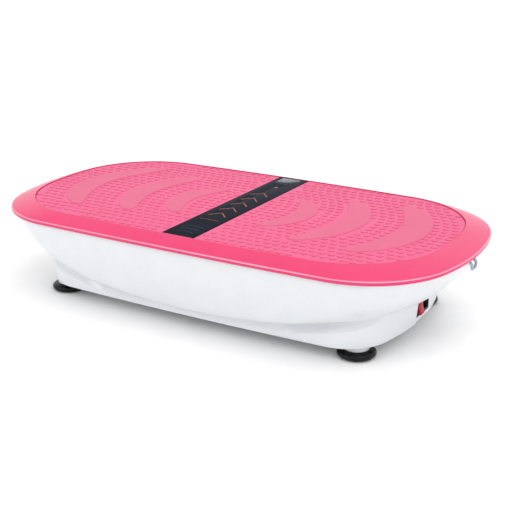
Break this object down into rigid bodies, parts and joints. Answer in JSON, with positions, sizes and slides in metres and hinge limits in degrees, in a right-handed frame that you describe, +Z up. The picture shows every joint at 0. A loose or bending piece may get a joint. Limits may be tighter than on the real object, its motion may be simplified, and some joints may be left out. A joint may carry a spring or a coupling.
{
  "type": "vibration plate",
  "caption": "Slim see-saw vibration plate: textured foot mats and a display strip on a tilting oval deck over a boat-shaped tub on suction feet, with belt-driven crank.",
  "frame": {"origin": "on the floor, under the middle of the plate", "axes": "+X along the plate towards the end with the power inlet, -Y the front long side, +Z up"},
  "size_m": [0.67, 0.3432, 0.1313],
  "materials": {
    "white_shell": "satin moulded plastic",
    "pink_cover": "satin moulded plastic",
    "pink_mat": "matte moulded mat with raised crescents",
    "strip_slate": "gloss overlay",
    "screen_glass": "clear window",
    "screen_grey": "grey-blue display",
    "lens_red": "dark red lens",
    "foot_rubber": "matte black rubber",
    "collar_white": "moulded plastic",
    "black_plastic": "fine texture",
    "rocker_red": "gloss",
    "loop_steel": "bright zinc",
    "plated_steel": "zinc plated",
    "black_steel": "powder coat",
    "alloy": "cast and machined",
    "bronze": "sintered bronze",
    "bush_rubber": "rubber",
    "belt_rubber": "ribbed rubber",
    "motor_steel": "satin black",
    "windings": "laminations and varnished windings",
    "board_green": "solder mask",
    "capacitor_sleeve": "shrink sleeve",
    "wire_jacket": "insulation"
  },
  "bodies": {
    "base": {"tub_shell": "white_shell", "base_cover": "white_shell", "base_screws": "plated_steel", "foot_front_left": "foot_rubber", "foot_front_right": "foot_rubber", "foot_rear_left": "foot_rubber", "foot_rear_right": "foot_rubber", "foot_collars": "collar_white", "foot_studs": "plated_steel", "chassis_plate": "black_steel", "pivot_post_front": "black_steel", "pivot_post_rear": "black_steel", "pivot_bushes": "bronze", "motor_cradle": "black_steel", "motor_can": "motor_steel", "motor_bell_front": "alloy", "motor_bell_rear": "alloy", "crank_block_front": "alloy", "crank_block_rear": "alloy", "crank_bearings": "plated_steel", "drive_belt": "belt_rubber", "control_board": "board_green", "board_heat_sink": "alloy", "board_capacitors": "capacitor_sleeve", "inlet_housing": "black_plastic", "inlet_pins": "bronze", "board_fuse": "plated_steel", "internal_wires": "wire_jacket", "display_cable": "wire_jacket", "band_loop_left": "loop_steel", "band_loop_right": "loop_steel"},
    "deck": {"deck_cover": "pink_cover", "mat_left": "pink_mat", "mat_right": "pink_mat", "display_strip": "strip_slate", "lcd_window": "screen_glass", "lcd_module": "screen_grey", "ir_lens": "lens_red", "display_board": "board_green", "deck_plate": "black_steel", "deck_screws": "plated_steel", "deck_rail_front": "black_steel", "deck_rail_rear": "black_steel", "pivot_pins": "plated_steel", "rod_pins": "plated_steel"},
    "rotor": {"motor_shaft": "plated_steel", "motor_armature": "windings", "motor_fan": "black_plastic", "motor_pulley": "alloy"},
    "crank": {"crank_shaft": "plated_steel", "driven_pulley": "alloy"},
    "front_rod": {"rod_front": "alloy", "rod_bearing_front": "plated_steel", "rod_bush_front": "bush_rubber"},
    "rear_rod": {"rod_rear": "alloy", "rod_bearing_rear": "plated_steel", "rod_bush_rear": "bush_rubber"},
    "rocker": {"rocker_switch": "rocker_red"}
  },
  "joints": [
    {"name": "deck_tilt", "type": "hinge", "parent": "base", "child": "deck", "pos_m": [0, 0, 0.106], "axis": [0, 1, 0], "range_deg": [-0.5, 0.5], "deforming": ["display_cable"]},
    {"name": "crank_spin", "type": "hinge", "parent": "base", "child": "crank", "pos_m": [0.13, 0, 0.06], "axis": [0, 1, 0], "continuous": true},
    {"name": "motor_spin", "type": "hinge", "parent": "base", "child": "rotor", "pos_m": [-0.13, 0, 0.062], "axis": [0, 1, 0], "continuous": true},
    {"name": "front_rod_swing", "type": "hinge", "parent": "crank", "child": "front_rod", "pos_m": [0.13113, -0.095, 0.06], "axis": [0, 1, 0], "continuous": true, "deforming": ["rod_bush_front"]},
    {"name": "rear_rod_swing", "type": "hinge", "parent": "crank", "child": "rear_rod", "pos_m": [0.13113, 0.095, 0.06], "axis": [0, 1, 0], "continuous": true, "deforming": ["rod_bush_rear"]},
    {"name": "rocker_tip", "type": "hinge", "parent": "base", "child": "rocker", "pos_m": [0.2612, 0.0004, 0.0357], "axis": [0, 1, 0], "range_deg": [0, 16]}
  ],
  "couplings": [
    {"joint": "motor_spin", "follows": "crank_spin", "ratio": 2.6667},
    {"joint": "front_rod_swing", "follows": "crank_spin", "ratio": -1},
    {"joint": "rear_rod_swing", "follows": "crank_spin", "ratio": -1}
  ]
}
